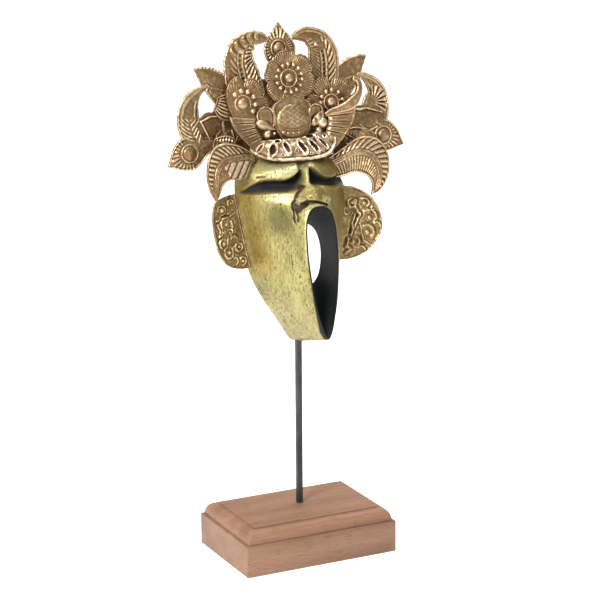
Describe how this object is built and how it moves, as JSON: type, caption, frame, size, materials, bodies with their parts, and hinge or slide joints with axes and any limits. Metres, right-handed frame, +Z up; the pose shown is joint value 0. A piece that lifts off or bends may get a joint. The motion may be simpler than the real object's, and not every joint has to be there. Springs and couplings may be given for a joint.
{
  "type": "mask on stand",
  "caption": "Stylised wooden mask with a wide open mouth, a leafy sheet-metal crown with flowers and wings, on an iron rod and a moulded wood base.",
  "frame": {"origin": "centre of the base block's underside", "axes": "+Z up along the rod, -Y out of the mask's mouth, +X along the base's long side, to the viewer's right when facing the mask"},
  "size_m": [0.2084, 0.0994, 0.4286],
  "materials": {
    "base_wood": "oiled, satin",
    "rod_iron": "black, satin",
    "face_paint": "gold-painted wood, worn, satin",
    "sheet_metal": "brown tarnished sheet, rubbed bright on the relief"
  },
  "bodies": {
    "root": {"base": "base_wood", "rod": "rod_iron", "face": "face_paint", "crown": "sheet_metal", "front_ornament": "sheet_metal", "ear_left": "sheet_metal", "ear_right": "sheet_metal"}
  },
  "joints": []
}
